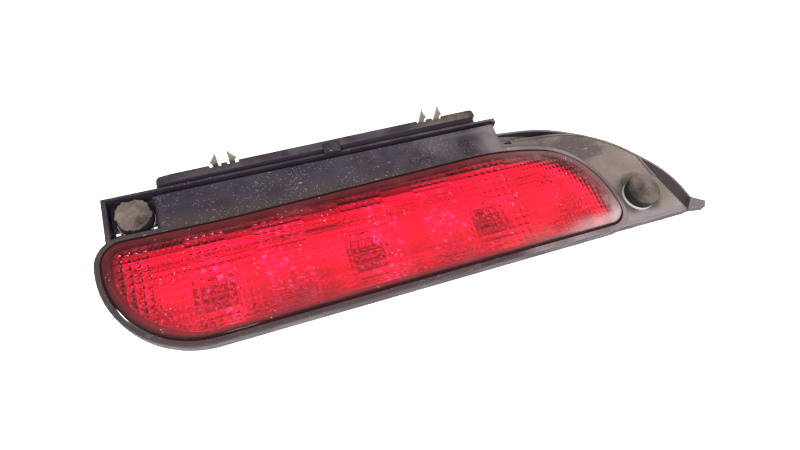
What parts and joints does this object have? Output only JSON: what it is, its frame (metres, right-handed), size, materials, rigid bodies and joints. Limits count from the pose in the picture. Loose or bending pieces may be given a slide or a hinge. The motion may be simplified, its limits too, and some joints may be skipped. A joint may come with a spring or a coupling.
{
  "type": "third brake light",
  "caption": "Long asymmetric high-mounted brake light with a red stepped-optic lens, a plate with a rail and barbed clips, round rubber buffers and twist-in bulb holders behind.",
  "frame": {"origin": "middle of the bounding box in plan, on the plane the lamp rests on when it lies on its back", "axes": "+X along the lamp towards the wing, +Y across it towards the rail and its clips, +Z out of the lens"},
  "size_m": [0.33, 0.0969, 0.0564],
  "materials": {
    "frame_plastic": "dusty weathered black polypropylene with fine grain",
    "lens_red": "glossy translucent red acrylic",
    "seal_black": "soft black bead",
    "housing_plastic": "moulded dark grey",
    "reflector_chrome": "vacuum metallised",
    "vent_rubber": "matt",
    "vent_mesh": "fine membrane",
    "screw_steel": "zinc plated",
    "foam": "closed-cell foam, dusty",
    "holder_plastic": "glass-filled nylon",
    "holder_rubber": "silicone seal",
    "terminal_brass": "tinned brass",
    "bulb_clear": "clear glass",
    "filament_wire": "drawn wire",
    "buffer_rubber": "dusty rubber with a scuffed top",
    "washer_grey": "light grey nylon",
    "post_plastic": "moulded nylon",
    "clip_nylon": "natural translucent nylon"
  },
  "bodies": {
    "lamp": {"mounting_frame": "frame_plastic", "lens": "lens_red", "lens_seal": "seal_black", "lamp_housing": "housing_plastic", "reflector": "reflector_chrome", "vent_cap": "vent_rubber", "vent_membrane": "vent_mesh", "housing_screws": "screw_steel", "seal_strip": "foam", "buffer_left": "buffer_rubber", "buffer_washer_left": "washer_grey", "buffer_post_left": "post_plastic", "rail_clip_left": "clip_nylon", "buffer_right": "buffer_rubber", "buffer_washer_right": "washer_grey", "buffer_post_right": "post_plastic", "rail_clip_right": "clip_nylon"},
    "holder_1": {"bulb_holder_1": "holder_plastic", "holder_seal_1": "holder_rubber", "terminal_live_1": "terminal_brass", "terminal_earth_1": "terminal_brass", "bulb_glass_1": "bulb_clear", "bulb_filament_1": "filament_wire"},
    "holder_2": {"bulb_holder_2": "holder_plastic", "holder_seal_2": "holder_rubber", "terminal_live_2": "terminal_brass", "terminal_earth_2": "terminal_brass", "bulb_glass_2": "bulb_clear", "bulb_filament_2": "filament_wire"},
    "holder_3": {"bulb_holder_3": "holder_plastic", "holder_seal_3": "holder_rubber", "terminal_live_3": "terminal_brass", "terminal_earth_3": "terminal_brass", "bulb_glass_3": "bulb_clear", "bulb_filament_3": "filament_wire"},
    "prong_left_a": {"clip_prong_left_a": "clip_nylon"},
    "prong_left_b": {"clip_prong_left_b": "clip_nylon"},
    "prong_right_a": {"clip_prong_right_a": "clip_nylon"},
    "prong_right_b": {"clip_prong_right_b": "clip_nylon"}
  },
  "joints": [
    {"name": "holder_turn_1", "type": "hinge", "parent": "lamp", "child": "holder_1", "pos_m": [-0.1136, -0.0161, 0.012], "axis": [0, 0, 1], "range_deg": [0, 45]},
    {"name": "holder_turn_2", "type": "hinge", "parent": "lamp", "child": "holder_2", "pos_m": [-0.0316, -0.0146, 0.012], "axis": [0, 0, 1], "range_deg": [0, 45]},
    {"name": "holder_turn_3", "type": "hinge", "parent": "lamp", "child": "holder_3", "pos_m": [0.0434, -0.0141, 0.012], "axis": [0, 0, 1], "range_deg": [0, 45]},
    {"name": "prong_flex_left_a", "type": "hinge", "parent": "lamp", "child": "prong_left_a", "pos_m": [-0.09978, 0.04745, 0.03928], "axis": [0, 1, 0], "range_deg": [0, 8], "stiffness_Nm_per_rad": 0.05},
    {"name": "prong_flex_left_b", "type": "hinge", "parent": "lamp", "child": "prong_left_b", "pos_m": [-0.09038, 0.04745, 0.03952], "axis": [0, 1, 0], "range_deg": [-8, 0], "stiffness_Nm_per_rad": 0.05},
    {"name": "prong_flex_right_a", "type": "hinge", "parent": "lamp", "child": "prong_right_a", "pos_m": [0.01818, 0.04745, 0.04236], "axis": [0, 1, 0], "range_deg": [-8, 0], "stiffness_Nm_per_rad": 0.05},
    {"name": "prong_flex_right_b", "type": "hinge", "parent": "lamp", "child": "prong_right_b", "pos_m": [0.02758, 0.04745, 0.04261], "axis": [0, 1, 0], "range_deg": [-8, 0], "stiffness_Nm_per_rad": 0.05}
  ]
}
